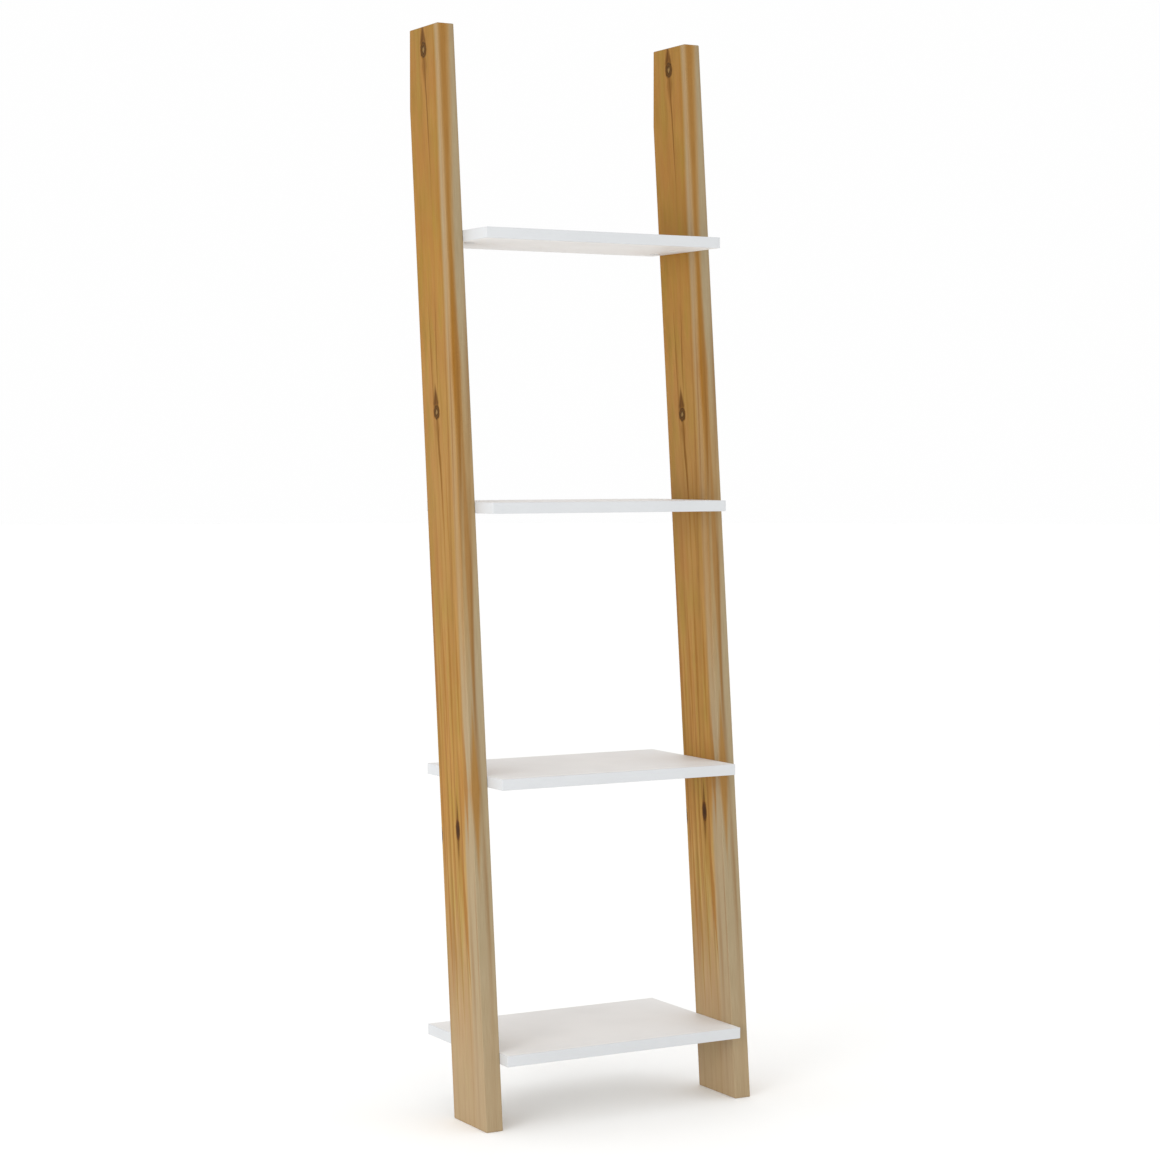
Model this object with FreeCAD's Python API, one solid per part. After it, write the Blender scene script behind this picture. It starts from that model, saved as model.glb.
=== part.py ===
import FreeCAD, Part
import math
import os

# A ladder shelf: two pine rails lean back against a wall and carry four level shelves.
# Millimetres. +X is to the right of someone facing the shelf, +Y goes towards the wall, +Z is up.
# The origin is on the floor, under the middle of the whole shelf's box.
# Everything is alike left and right, so each piece is made on the right and mirrored.

# Rails: straight boards that lean back, sawn level at the foot and upright where they meet the wall.
RAIL_HEIGHT = 1780.0      # floor to the top corner at the front
RAIL_WIDTH = 114.0        # wide face, square to the board's long edges
RAIL_THICKNESS = 30.0
RAIL_EDGE_RADIUS = 1.5    # sanded arris all round both wide faces
LEAN_DEG = 5.42           # how far the rails lean from upright
WALL_CUT = 129.0          # height of the upright cut, from the front corner's level down
TOP_CUT_DEG = 4.3         # fall of the top cut towards the wall

# Shelves: melamine-faced boards with an edge band on all four edges.
SHELF_SPAN = 440.0        # clear width between the rails
SHELF_THICKNESS = 18.0
SHELF_PITCH = 440.0       # from one shelf's top to the next
BOTTOM_SHELF_TOP = 123.0  # height of the lowest shelf's top
SHELF_DEPTHS = {
    "bottom_shelf": 286.0,
    "lower_shelf": 269.0,
    "upper_shelf": 238.0,
    "top_shelf": 218.0,
}
BAND_THICKNESS = 1.0
BAND_RADIUS = 0.8         # trimmed outer arris of an edge band

# Shelf fittings at each end: a cam lock, a dowel and a second cam lock, in one row.
FITTING_PITCH = 32.0
CAM_SETBACK = 24.0        # shelf end to cam axis
CAM_RADIUS = 7.4
CAM_HEADROOM = 4.0        # cam bore's end above the bolt's axis
CAM_RECESS = 0.5          # cam's face above the shelf's underside
CAM_CLEARANCE = 0.1       # radial, cam in its bore
CAM_CHAMBER_ROOM = 0.9    # chamber's radius beyond the bolt head's
CAM_CHAMBER_BELOW = 3.7   # chamber floor below the bolt's axis
CAM_OFFSET = 0.6          # eccentric that draws the bolt in
CAM_SLOT_TURN = 160.0     # degrees the cam turns to lock
SOCKET_LENGTH = 8.0       # cross socket in the cam's face
SOCKET_WIDTH = 1.8
SOCKET_DEPTH = 3.0

# Cam bolt: screwed into the rail, its head held in the cam.
THREAD_RADIUS = 3.15
THREAD_CORE = 2.3
THREAD_PITCH = 2.75
THREAD_TURNS = 4
COLLAR_RADIUS = 3.7
COLLAR_THICKNESS = 1.5
SHANK_RADIUS = 3.4
NECK_RADIUS = 2.3
NECK_LEAD = 0.6           # neck starts this far outside the cam
HEAD_RADIUS = 3.5
HEAD_CHAMFER = 0.8
HEAD_CLEARANCE = 0.05     # head's shoulder to the chamber's wall
BOLT_PAST_CAM_AXIS = 1.5  # bolt's tip beyond the cam's axis
BOLT_CLEARANCE = 0.3      # radial, bolt in the shelf and in the cam's slot

# Cover caps on the cams.
CAP_RADIUS = 8.8
CAP_THICKNESS = 0.9
CAP_EDGE_RADIUS = 0.6
CAP_PLUG_RADIUS = 2.0
CAP_PLUG_LENGTH = 2.0
CAP_PLUG_CLEARANCE = 0.05

# Dowels.
DOWEL_RADIUS = 4.0
DOWEL_IN_RAIL = 12.0
DOWEL_IN_SHELF = 18.0
DOWEL_CHAMFER = 1.0
WOOD_CLEARANCE = 0.05     # radial, dowels and threads in wood
BORE_SPARE = 1.0          # bores run this much past what they hold

# Wall hangers: keyhole plates let in flush in the upright cuts, over a pocket for a screw head.
HANGER_DROP = 60.0        # plate's middle below the top of the upright cut
PLATE_LENGTH = 45.0
PLATE_WIDTH = 16.0
PLATE_THICKNESS = 1.5
PLATE_CLEARANCE = 0.1     # all round the plate's edge
KEYHOLE_RADIUS = 4.75     # where a wall screw's head goes in
KEYHOLE_BELOW = 5.0       # entry below the plate's middle
SLOT_RADIUS = 2.4
SLOT_ABOVE = 6.0          # slot's top end above the plate's middle
POCKET_LENGTH = 24.0
POCKET_WIDTH = 11.0
POCKET_DEPTH = 7.0
HANGER_SCREW_PITCH = 35.0
SCREW_RADIUS = 1.75
SCREW_CORE = 1.2
SCREW_HEAD_RADIUS = 3.0
SCREW_HEAD_DEPTH = 1.25
SCREW_THREAD_PITCH = 1.5
SCREW_TURNS = 9
SCREW_SOCKET_LENGTH = 3.2
SCREW_SOCKET_WIDTH = 0.7
SCREW_SOCKET_DEPTH = 0.9

OVERCUT = 1.0             # cutting tools start this far outside the face they enter

# Worked out from the sizes above.
LEAN = math.tan(math.radians(LEAN_DEG))
RAIL_SECTION = RAIL_WIDTH / math.cos(math.radians(LEAN_DEG))
RAIL_TOP_DEPTH = RAIL_SECTION - WALL_CUT * LEAN
FOOT_REACH = RAIL_TOP_DEPTH + RAIL_HEIGHT * LEAN
WALL_Y = max(FOOT_REACH, *SHELF_DEPTHS.values()) / 2
WALL_CUT_TOP = RAIL_HEIGHT - RAIL_TOP_DEPTH * math.tan(math.radians(TOP_CUT_DEG))
RAIL_INNER_X = SHELF_SPAN / 2
HANGER_X = RAIL_INNER_X + RAIL_THICKNESS / 2
HANGER_Z = WALL_CUT_TOP - HANGER_DROP
PLATE_BACK_Y = WALL_Y - PLATE_THICKNESS
BOLT_BORE_RADIUS = COLLAR_RADIUS + BOLT_CLEARANCE
BOLT_REACH = CAM_SETBACK + BOLT_PAST_CAM_AXIS
CAM_CHAMBER_RADIUS = HEAD_RADIUS + CAM_CHAMBER_ROOM
CHAMBER_WALL = math.sqrt(CAM_CHAMBER_RADIUS**2 - HEAD_RADIUS**2) - CAM_OFFSET
HEAD_START = CAM_SETBACK - CHAMBER_WALL + HEAD_CLEARANCE
NECK_START = CAM_SETBACK - CAM_RADIUS - NECK_LEAD
THREAD_LENGTH = THREAD_TURNS * THREAD_PITCH
SCREW_LENGTH = SCREW_HEAD_DEPTH + SCREW_TURNS * SCREW_THREAD_PITCH
X_AXIS = FreeCAD.Vector(1, 0, 0)
Y_AXIS = FreeCAD.Vector(0, 1, 0)
Z_AXIS = FreeCAD.Vector(0, 0, 1)
ORIGIN = FreeCAD.Vector(0, 0, 0)


def mirrored(shape):
    """The same piece on the left."""
    return shape.mirror(ORIGIN, X_AXIS)


def box(x, y, z):
    """A block between the low and high value of each axis."""
    corner = FreeCAD.Vector(x[0], y[0], z[0])
    return Part.makeBox(x[1] - x[0], y[1] - y[0], z[1] - z[0], corner)


def rod(radius, start, direction, length):
    return Part.makeCylinder(radius, length, start, direction)


def turned(profile, start, direction):
    """A solid of revolution. The profile is (distance along the axis, radius) pairs."""
    points = [FreeCAD.Vector(radius, 0, along) for along, radius in profile]
    outline = Part.makePolygon(points + points[:1])
    solid = Part.Face(outline).revolve(ORIGIN, Z_AXIS, 360)
    turn = FreeCAD.Rotation(Z_AXIS, direction)
    solid.Placement = FreeCAD.Placement(start, turn)
    return solid


def thread(start, core, crest, pitch, turns):
    """Profile points of a row of thread crests, from start onwards."""
    points = []
    for turn in range(turns):
        root = start + turn * pitch
        points += [(root, core), (root + pitch / 2, crest)]
    return points + [(start + turns * pitch, core)]


def rail_front(z):
    """Y of the rail's front edge at a height."""
    return WALL_Y - RAIL_TOP_DEPTH - (RAIL_HEIGHT - z) * LEAN


def rail_back(z):
    """Y of the rail's back edge at a height. The wall cuts it off."""
    return min(WALL_Y, rail_front(z) + RAIL_SECTION)


def shelf_top(name):
    return BOTTOM_SHELF_TOP + list(SHELF_DEPTHS).index(name) * SHELF_PITCH


def bolt_height(name):
    """Height of the row of fittings: the middle of the board."""
    return shelf_top(name) - SHELF_THICKNESS / 2


def row_middle(name):
    """Y of the row's dowel: the middle of the rail's section at that height."""
    z = bolt_height(name)
    return (rail_front(z) + rail_back(z)) / 2


def cam_rows(name):
    return [row_middle(name) + side * FITTING_PITCH for side in (-1, 1)]


def obround(length, width, y, z_middle):
    """An upright slot shape with round ends, between two Y planes, on the hanger's line."""
    radius = width / 2
    straight = length / 2 - radius
    depth = y[1] - y[0]
    shape = box(
        (HANGER_X - radius, HANGER_X + radius), y, (z_middle - straight, z_middle + straight)
    )
    for end in (-straight, straight):
        centre = FreeCAD.Vector(HANGER_X, y[0], z_middle + end)
        shape = shape.fuse(rod(radius, centre, Y_AXIS, depth))
    return shape.removeSplitter()


def hanger_screw_heights():
    return [HANGER_Z + side * HANGER_SCREW_PITCH / 2 for side in (-1, 1)]


def rail_blank():
    """The board, sawn to its outline, with its wide faces' arrises sanded."""
    outline = [
        (rail_front(0), 0),
        (rail_back(0), 0),
        (WALL_Y, RAIL_HEIGHT - WALL_CUT),
        (WALL_Y, WALL_CUT_TOP),
        (rail_front(RAIL_HEIGHT), RAIL_HEIGHT),
    ]
    points = [FreeCAD.Vector(RAIL_INNER_X, y, z) for y, z in outline]
    face = Part.Face(Part.makePolygon(points + points[:1]))
    blank = face.extrude(X_AXIS * RAIL_THICKNESS)
    arrises = []
    for edge in blank.Edges:
        ends = [vertex.X for vertex in edge.Vertexes]
        if abs(ends[0] - ends[1]) < RAIL_EDGE_RADIUS:
            arrises.append(edge)
    return blank.makeFillet(RAIL_EDGE_RADIUS, arrises)


def rail_bores():
    """Bores in the rail's inner face for every shelf's bolts and dowels."""
    bores = []
    mouth_x = RAIL_INNER_X - OVERCUT
    for name in SHELF_DEPTHS:
        z = bolt_height(name)
        for y in cam_rows(name):
            start = FreeCAD.Vector(mouth_x, y, z)
            depth = OVERCUT + THREAD_LENGTH + BORE_SPARE
            bores.append(rod(THREAD_RADIUS + WOOD_CLEARANCE, start, X_AXIS, depth))
        start = FreeCAD.Vector(mouth_x, row_middle(name), z)
        bores.append(
            rod(DOWEL_RADIUS + WOOD_CLEARANCE, start, X_AXIS, OVERCUT + DOWEL_IN_RAIL)
        )
    return bores


def hanger_recess():
    """Flush seat, screw-head pocket and pilot holes for the keyhole plate."""
    grow = 2 * PLATE_CLEARANCE
    seat = obround(
        PLATE_LENGTH + grow, PLATE_WIDTH + grow, (PLATE_BACK_Y, WALL_Y + OVERCUT), HANGER_Z
    )
    pocket_y = (PLATE_BACK_Y - POCKET_DEPTH, PLATE_BACK_Y + OVERCUT)
    pocket = obround(POCKET_LENGTH, POCKET_WIDTH, pocket_y, HANGER_Z)
    cuts = [seat, pocket]
    for z in hanger_screw_heights():
        start = FreeCAD.Vector(HANGER_X, WALL_Y, z)
        depth = SCREW_LENGTH + BORE_SPARE
        cuts.append(rod(SCREW_RADIUS + WOOD_CLEARANCE, start, -Y_AXIS, depth))
    return cuts


def rail():
    return rail_blank().cut(rail_bores() + hanger_recess())


def keyhole_plate():
    plate = obround(PLATE_LENGTH, PLATE_WIDTH, (PLATE_BACK_Y, WALL_Y), HANGER_Z)
    entry_z = HANGER_Z - KEYHOLE_BELOW
    slot_z = HANGER_Z + SLOT_ABOVE - SLOT_RADIUS
    through_y = PLATE_BACK_Y - OVERCUT
    through = PLATE_THICKNESS + 2 * OVERCUT
    entry = rod(KEYHOLE_RADIUS, FreeCAD.Vector(HANGER_X, through_y, entry_z), Y_AXIS, through)
    slot_end = rod(SLOT_RADIUS, FreeCAD.Vector(HANGER_X, through_y, slot_z), Y_AXIS, through)
    slot = box(
        (HANGER_X - SLOT_RADIUS, HANGER_X + SLOT_RADIUS),
        (through_y, through_y + through),
        (entry_z, slot_z),
    )
    cuts = [entry, slot_end, slot]
    for z in hanger_screw_heights():
        cuts.append(screw_hole(z))
    return plate.cut(cuts)


def screw_hole(z):
    """Countersunk hole through the plate."""
    profile = [
        (0, 0),
        (0, SCREW_HEAD_RADIUS),
        (SCREW_HEAD_DEPTH, SCREW_RADIUS),
        (PLATE_THICKNESS + OVERCUT, SCREW_RADIUS),
        (PLATE_THICKNESS + OVERCUT, 0),
    ]
    return turned(profile, FreeCAD.Vector(HANGER_X, WALL_Y, z), -Y_AXIS)


def hanger_screw(z):
    """Countersunk wood screw with a cross socket."""
    profile = [(0, 0), (0, SCREW_HEAD_RADIUS), (SCREW_HEAD_DEPTH, SCREW_CORE)]
    profile += thread(
        SCREW_HEAD_DEPTH, SCREW_CORE, SCREW_RADIUS, SCREW_THREAD_PITCH, SCREW_TURNS
    )[1:]
    profile.append((SCREW_LENGTH, 0))
    screw = turned(profile, FreeCAD.Vector(HANGER_X, WALL_Y, z), -Y_AXIS)
    long = SCREW_SOCKET_LENGTH / 2
    half = SCREW_SOCKET_WIDTH / 2
    y = (WALL_Y - SCREW_SOCKET_DEPTH, WALL_Y + OVERCUT)
    across = box((HANGER_X - long, HANGER_X + long), y, (z - half, z + half))
    upright = box((HANGER_X - half, HANGER_X + half), y, (z - long, z + long))
    return screw.cut([across, upright])


def shelf_bores(name):
    """Cam bores in the underside, and bolt and dowel bores in the right-hand end."""
    z = bolt_height(name)
    cam_x = RAIL_INNER_X - CAM_SETBACK
    underside = shelf_top(name) - SHELF_THICKNESS
    cam_bore = OVERCUT + SHELF_THICKNESS / 2 + CAM_HEADROOM
    bores = []
    for y in cam_rows(name):
        below = FreeCAD.Vector(cam_x, y, underside - OVERCUT)
        bores.append(rod(CAM_RADIUS + CAM_CLEARANCE, below, Z_AXIS, cam_bore))
        mouth = FreeCAD.Vector(RAIL_INNER_X + OVERCUT, y, z)
        bores.append(rod(BOLT_BORE_RADIUS, mouth, -X_AXIS, OVERCUT + CAM_SETBACK))
    mouth = FreeCAD.Vector(RAIL_INNER_X + OVERCUT, row_middle(name), z)
    depth = OVERCUT + DOWEL_IN_SHELF + BORE_SPARE
    bores.append(rod(DOWEL_RADIUS + WOOD_CLEARANCE, mouth, -X_AXIS, depth))
    return bores


def board(name):
    """The board inside its edge bands."""
    half = SHELF_SPAN / 2 - BAND_THICKNESS
    y = (WALL_Y - SHELF_DEPTHS[name] + BAND_THICKNESS, WALL_Y - BAND_THICKNESS)
    top = shelf_top(name)
    bores = shelf_bores(name)
    return box((-half, half), y, (top - SHELF_THICKNESS, top)).cut(
        bores + [mirrored(bore) for bore in bores]
    )


def long_band(name, y, outer_y):
    """A front or back edge band, over the ends of the end bands. Its outer arrises are trimmed."""
    half = SHELF_SPAN / 2
    top = shelf_top(name)
    strip = box((-half, half), y, (top - SHELF_THICKNESS, top))
    outer = [e for e in strip.Edges if all(abs(v.Y - outer_y) < BAND_RADIUS / 2 for v in e.Vertexes)]
    return strip.makeFillet(BAND_RADIUS, outer)


def front_band(name):
    front = WALL_Y - SHELF_DEPTHS[name]
    return long_band(name, (front, front + BAND_THICKNESS), front)


def back_band(name):
    return long_band(name, (WALL_Y - BAND_THICKNESS, WALL_Y), WALL_Y)


def end_band(name):
    """The right-hand end band, bored for the fittings."""
    x = (RAIL_INNER_X - BAND_THICKNESS, RAIL_INNER_X)
    y = (WALL_Y - SHELF_DEPTHS[name] + BAND_THICKNESS, WALL_Y - BAND_THICKNESS)
    top = shelf_top(name)
    strip = box(x, y, (top - SHELF_THICKNESS, top))
    arrises = []
    for edge in strip.Edges:
        outer = all(abs(v.X - RAIL_INNER_X) < BAND_RADIUS / 2 for v in edge.Vertexes)
        level = abs(edge.Vertexes[0].Z - edge.Vertexes[1].Z) < BAND_RADIUS / 2
        if outer and level:
            arrises.append(edge)
    return strip.makeFillet(BAND_RADIUS, arrises).cut(shelf_bores(name))


def cam_bolt(y, z):
    profile = [(-THREAD_LENGTH, 0)]
    profile += thread(-THREAD_LENGTH, THREAD_CORE, THREAD_RADIUS, THREAD_PITCH, THREAD_TURNS)
    profile += [
        (0, COLLAR_RADIUS),
        (COLLAR_THICKNESS, COLLAR_RADIUS),
        (COLLAR_THICKNESS, SHANK_RADIUS),
        (NECK_START, SHANK_RADIUS),
        (NECK_START, NECK_RADIUS),
        (HEAD_START, NECK_RADIUS),
        (HEAD_START, HEAD_RADIUS),
        (BOLT_REACH - HEAD_CHAMFER, HEAD_RADIUS),
        (BOLT_REACH, HEAD_RADIUS - HEAD_CHAMFER),
        (BOLT_REACH, 0),
    ]
    return turned(profile, FreeCAD.Vector(RAIL_INNER_X, y, z), -X_AXIS)


def cam_lock(y, z):
    """A round cam that is open at its inner end, slotted for the bolt's neck, shown locked."""
    cam_x = RAIL_INNER_X - CAM_SETBACK
    face_z = z - SHELF_THICKNESS / 2 + CAM_RECESS
    end_z = z + CAM_HEADROOM
    cam = rod(CAM_RADIUS, FreeCAD.Vector(cam_x, y, face_z), Z_AXIS, end_z - face_z)
    chamber_z = z - CAM_CHAMBER_BELOW
    chamber = rod(
        CAM_CHAMBER_RADIUS,
        FreeCAD.Vector(cam_x - CAM_OFFSET, y, chamber_z),
        Z_AXIS,
        end_z - chamber_z + OVERCUT,
    )
    slot_half = NECK_RADIUS + BOLT_CLEARANCE
    slot_base = FreeCAD.Vector(cam_x, y, z - slot_half)
    slot = Part.makeCylinder(
        CAM_RADIUS + OVERCUT, 2 * slot_half, slot_base, Z_AXIS, CAM_SLOT_TURN
    )
    gate_radius = HEAD_RADIUS + BOLT_CLEARANCE
    gate_angle = math.radians(CAM_SLOT_TURN)
    gate_way = FreeCAD.Vector(math.cos(gate_angle), math.sin(gate_angle), 0)
    gate = rod(gate_radius, FreeCAD.Vector(cam_x, y, z), gate_way, CAM_RADIUS + OVERCUT)
    neck_way = rod(slot_half, FreeCAD.Vector(cam_x, y, z), X_AXIS, CAM_RADIUS + OVERCUT)
    return cam.cut([chamber, slot, gate, neck_way] + cam_socket(cam_x, y, face_z))


def cam_socket(x, y, face_z):
    """Cross socket and the middle hole that a cap's plug presses into."""
    long = SOCKET_LENGTH / 2
    half = SOCKET_WIDTH / 2
    z = (face_z - OVERCUT, face_z + SOCKET_DEPTH)
    middle = FreeCAD.Vector(x, y, face_z - OVERCUT)
    plug_hole = rod(CAP_PLUG_RADIUS + CAP_PLUG_CLEARANCE, middle, Z_AXIS, OVERCUT + SOCKET_DEPTH)
    return [
        box((x - long, x + long), (y - half, y + half), z),
        box((x - half, x + half), (y - long, y + long), z),
        plug_hole,
    ]


def cam_cap(y, z):
    """A thin disc on the underside, with a plug that presses into the cam's socket."""
    cam_x = RAIL_INNER_X - CAM_SETBACK
    underside = z - SHELF_THICKNESS / 2
    disc = rod(
        CAP_RADIUS, FreeCAD.Vector(cam_x, y, underside - CAP_THICKNESS), Z_AXIS, CAP_THICKNESS
    )
    rim = [e for e in disc.Edges if e.BoundBox.ZMax < underside - CAP_THICKNESS / 2]
    disc = disc.makeFillet(CAP_EDGE_RADIUS, rim)
    plug_length = CAM_RECESS + CAP_PLUG_LENGTH
    plug = rod(CAP_PLUG_RADIUS, FreeCAD.Vector(cam_x, y, underside), Z_AXIS, plug_length)
    return disc.fuse(plug).removeSplitter()


def dowel(y, z):
    length = DOWEL_IN_RAIL + DOWEL_IN_SHELF
    profile = [
        (0, 0),
        (0, DOWEL_RADIUS - DOWEL_CHAMFER),
        (DOWEL_CHAMFER, DOWEL_RADIUS),
        (length - DOWEL_CHAMFER, DOWEL_RADIUS),
        (length, DOWEL_RADIUS - DOWEL_CHAMFER),
        (length, 0),
    ]
    return turned(profile, FreeCAD.Vector(RAIL_INNER_X + DOWEL_IN_RAIL, y, z), -X_AXIS)


def both_ends(shapes):
    """The right-hand pieces and their mirror images, as one group of separate solids."""
    return Part.makeCompound(shapes + [mirrored(shape) for shape in shapes])


def shelf_nodes(name):
    z = bolt_height(name)
    rows = cam_rows(name)
    return {
        name: board(name),
        name + "_front_band": front_band(name),
        name + "_back_band": back_band(name),
        name + "_end_bands": both_ends([end_band(name)]),
        name + "_cam_locks": both_ends([cam_lock(y, z) for y in rows]),
        name + "_cam_bolts": both_ends([cam_bolt(y, z) for y in rows]),
        name + "_cam_caps": both_ends([cam_cap(y, z) for y in rows]),
        name + "_dowels": both_ends([dowel(row_middle(name), z)]),
    }


def rail_nodes():
    right_rail = rail()
    plate = keyhole_plate()
    screws = [hanger_screw(z) for z in hanger_screw_heights()]
    return {
        "right_rail": right_rail,
        "left_rail": mirrored(right_rail),
        "right_hanger_plate": plate,
        "left_hanger_plate": mirrored(plate),
        "right_hanger_screws": Part.makeCompound(screws),
        "left_hanger_screws": Part.makeCompound([mirrored(screw) for screw in screws]),
    }


def main():
    os.makedirs("parts", exist_ok=True)
    nodes = rail_nodes()
    for name in SHELF_DEPTHS:
        nodes.update(shelf_nodes(name))
    for name, shape in nodes.items():
        shape.exportStep("parts/" + name + ".step")
        print(name, len(shape.Solids), "solids", round(shape.Volume), "mm3", shape.isValid())


main()
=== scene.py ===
# %% [markdown]
# # A leaning ladder shelf
#
# Two pine rails lean back against a wall and carry four white shelves, which get deeper towards
# the floor. The measured model already holds every piece at its true size and place. This lesson
# builds the pieces that show again, with the edges and joints that the eye looks for, gives every
# piece the finish of its real material, and sets the shelf in soft studio light.

# %% Load the measured model
import math

import bpy
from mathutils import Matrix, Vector


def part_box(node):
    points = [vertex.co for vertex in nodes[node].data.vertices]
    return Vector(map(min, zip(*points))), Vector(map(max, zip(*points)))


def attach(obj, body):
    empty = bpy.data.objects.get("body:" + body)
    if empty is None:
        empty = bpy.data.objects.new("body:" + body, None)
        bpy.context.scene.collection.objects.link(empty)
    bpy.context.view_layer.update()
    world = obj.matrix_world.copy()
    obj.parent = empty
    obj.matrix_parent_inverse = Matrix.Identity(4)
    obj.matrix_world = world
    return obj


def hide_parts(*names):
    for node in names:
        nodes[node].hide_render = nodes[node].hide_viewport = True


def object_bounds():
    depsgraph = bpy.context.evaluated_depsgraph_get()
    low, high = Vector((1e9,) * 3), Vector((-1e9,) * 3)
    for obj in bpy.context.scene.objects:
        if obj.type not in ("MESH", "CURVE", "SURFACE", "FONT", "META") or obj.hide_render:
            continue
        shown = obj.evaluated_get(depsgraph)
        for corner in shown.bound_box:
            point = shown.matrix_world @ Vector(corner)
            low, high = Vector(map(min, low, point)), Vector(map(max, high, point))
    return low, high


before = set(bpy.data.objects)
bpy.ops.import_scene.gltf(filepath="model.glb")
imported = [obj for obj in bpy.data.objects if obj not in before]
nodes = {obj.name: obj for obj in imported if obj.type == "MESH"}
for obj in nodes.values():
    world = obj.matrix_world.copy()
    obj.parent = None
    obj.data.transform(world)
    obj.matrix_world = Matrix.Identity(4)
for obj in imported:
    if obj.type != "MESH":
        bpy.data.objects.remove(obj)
model_low, model_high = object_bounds()
MM = 0.001
SHELVES = ("bottom_shelf", "lower_shelf", "upper_shelf", "top_shelf")
print(len(nodes), "measured pieces,", [round(side / MM) for side in model_high - model_low], "mm")

# %% [markdown]
# ## The camera
#
# It stands well back with a long lens, to the left of the shelf and a little above its middle, so
# the rails stay almost parallel and the shelves' tops only just show. The lens is shifted a very
# little instead of tilting the camera further, which keeps the rails upright.

# %% Set up the camera
CAMERA_AT = Vector((-2.201, -3.888, 1.074))
CAMERA_AIM = Vector((-0.007, 0, 0.901))
LENS_MM = 83.3
LENS_SHIFT = -0.0155

scene = bpy.context.scene
bpy.ops.object.select_all(action="DESELECT")
bpy.ops.object.camera_add(location=CAMERA_AT)
camera = bpy.context.object
camera.name = "camera"
camera.rotation_euler = (CAMERA_AIM - CAMERA_AT).to_track_quat("-Z", "Y").to_euler()
camera.data.lens = LENS_MM
camera.data.shift_y = LENS_SHIFT
scene.camera = camera
scene.view_settings.view_transform = "Standard"
print("camera", round((CAMERA_AIM - CAMERA_AT).length, 2), "m away")

# %% [markdown]
# ## Working as by hand
#
# An operator acts on everything that is selected, and the measured pieces arrive selected, so each
# step first selects what it works on and nothing else. A block is the start of every piece here:
# boards, strips and cutting tools all begin as one, and a saw cut, a bevel or an extrusion then
# gives each its shape. Its scale is applied at once, so a bevel is as wide as it says.


# %% Select one piece, and start from a block
def only(piece):
    """Selects one object and nothing else."""
    bpy.ops.object.select_all(action="DESELECT")
    piece.select_set(True)
    bpy.context.view_layer.objects.active = piece


def block(name, low, high):
    """A box between two corners, with its place in its mesh."""
    bpy.ops.object.select_all(action="DESELECT")
    low, high = Vector(low), Vector(high)
    bpy.ops.mesh.primitive_cube_add(size=1, location=(low + high) / 2, scale=high - low)
    bpy.ops.object.transform_apply(location=True, rotation=True, scale=True)
    piece = bpy.context.object
    piece.name = piece.data.name = name
    return piece


def copy_of(piece, name, move=(0, 0, 0)):
    """A copy with its own mesh, moved by editing its points."""
    only(piece)
    bpy.ops.object.duplicate()
    copy = bpy.context.object
    copy.name = copy.data.name = name
    bpy.ops.object.mode_set(mode="EDIT")
    bpy.ops.mesh.select_all(action="SELECT")
    bpy.ops.transform.translate(value=move)
    bpy.ops.object.mode_set(mode="OBJECT")
    return copy


# %% Select edges by place, and apply a modifier
def select_edges(piece, wanted):
    """In object mode, selects each edge whose two ends pass the test, ready for edit mode."""
    only(piece)
    bpy.ops.object.mode_set(mode="EDIT")
    bpy.ops.mesh.select_mode(type="EDGE")
    bpy.ops.mesh.select_all(action="DESELECT")
    bpy.ops.object.mode_set(mode="OBJECT")
    points = piece.data.vertices
    chosen = [e for e in piece.data.edges if wanted(*[points[v].co for v in e.vertices])]
    for edge in chosen:
        edge.select = True
    return len(chosen)


def apply_modifier(piece, kind, **settings):
    """Adds a modifier, gives it its settings and applies it."""
    only(piece)
    bpy.ops.object.modifier_add(type=kind)
    modifier = piece.modifiers[-1]
    for name, value in settings.items():
        setattr(modifier, name, value)
    bpy.ops.object.modifier_apply(modifier=modifier.name)


# %% [markdown]
# ## A rail's blank
#
# Each rail is a planed board of pine, 30 mm thick and 114 mm wide. It leans, so its foot is sawn
# level, the top of its back edge is sawn upright where it meets the wall, and its top is sawn
# nearly square. The outline could be drawn as a polygon and extruded. Sawing it from a block is
# closer to how it is made: each cut is one bisect, and the block's own sides already are the foot
# and the wall cut. The arrises are then eased with sandpaper, which is a small round bevel.

# %% Saw the blank
LEAN = math.radians(5.42)
TOP_CUT = math.radians(4.3)
RAIL_WIDTH = 114 * MM
EASED_RADIUS = 1.6 * MM
EASED_STEPS = 4
SHARP_ANGLE = math.radians(35)

rail_low, rail_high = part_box("left_rail")
along_rail = Vector((0, math.sin(LEAN), math.cos(LEAN)))
across_rail = Vector((0, math.cos(LEAN), -math.sin(LEAN)))
foot_front = Vector((rail_low.x, rail_low.y, rail_low.z))
top_front = foot_front + along_rail * (rail_high.z - rail_low.z) / math.cos(LEAN)


def saw(point, offcut_side):
    """In edit mode, cuts off what lies beyond a plane and closes the cut."""
    bpy.ops.mesh.select_all(action="SELECT")
    bpy.ops.mesh.bisect(plane_co=point, plane_no=offcut_side, use_fill=True, clear_outer=True)


blank = block("rail_blank", rail_low, rail_high)
bpy.ops.object.mode_set(mode="EDIT")
saw(foot_front, -across_rail)
saw(foot_front + across_rail * RAIL_WIDTH, across_rail)
saw(top_front, (0, -math.sin(TOP_CUT), math.cos(TOP_CUT)))
bpy.ops.object.mode_set(mode="OBJECT")
apply_modifier(
    blank, "BEVEL", width=EASED_RADIUS, segments=EASED_STEPS, angle_limit=SHARP_ANGLE
)
print("blank", [round(side / MM, 1) for side in blank.dimensions], "mm")

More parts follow.
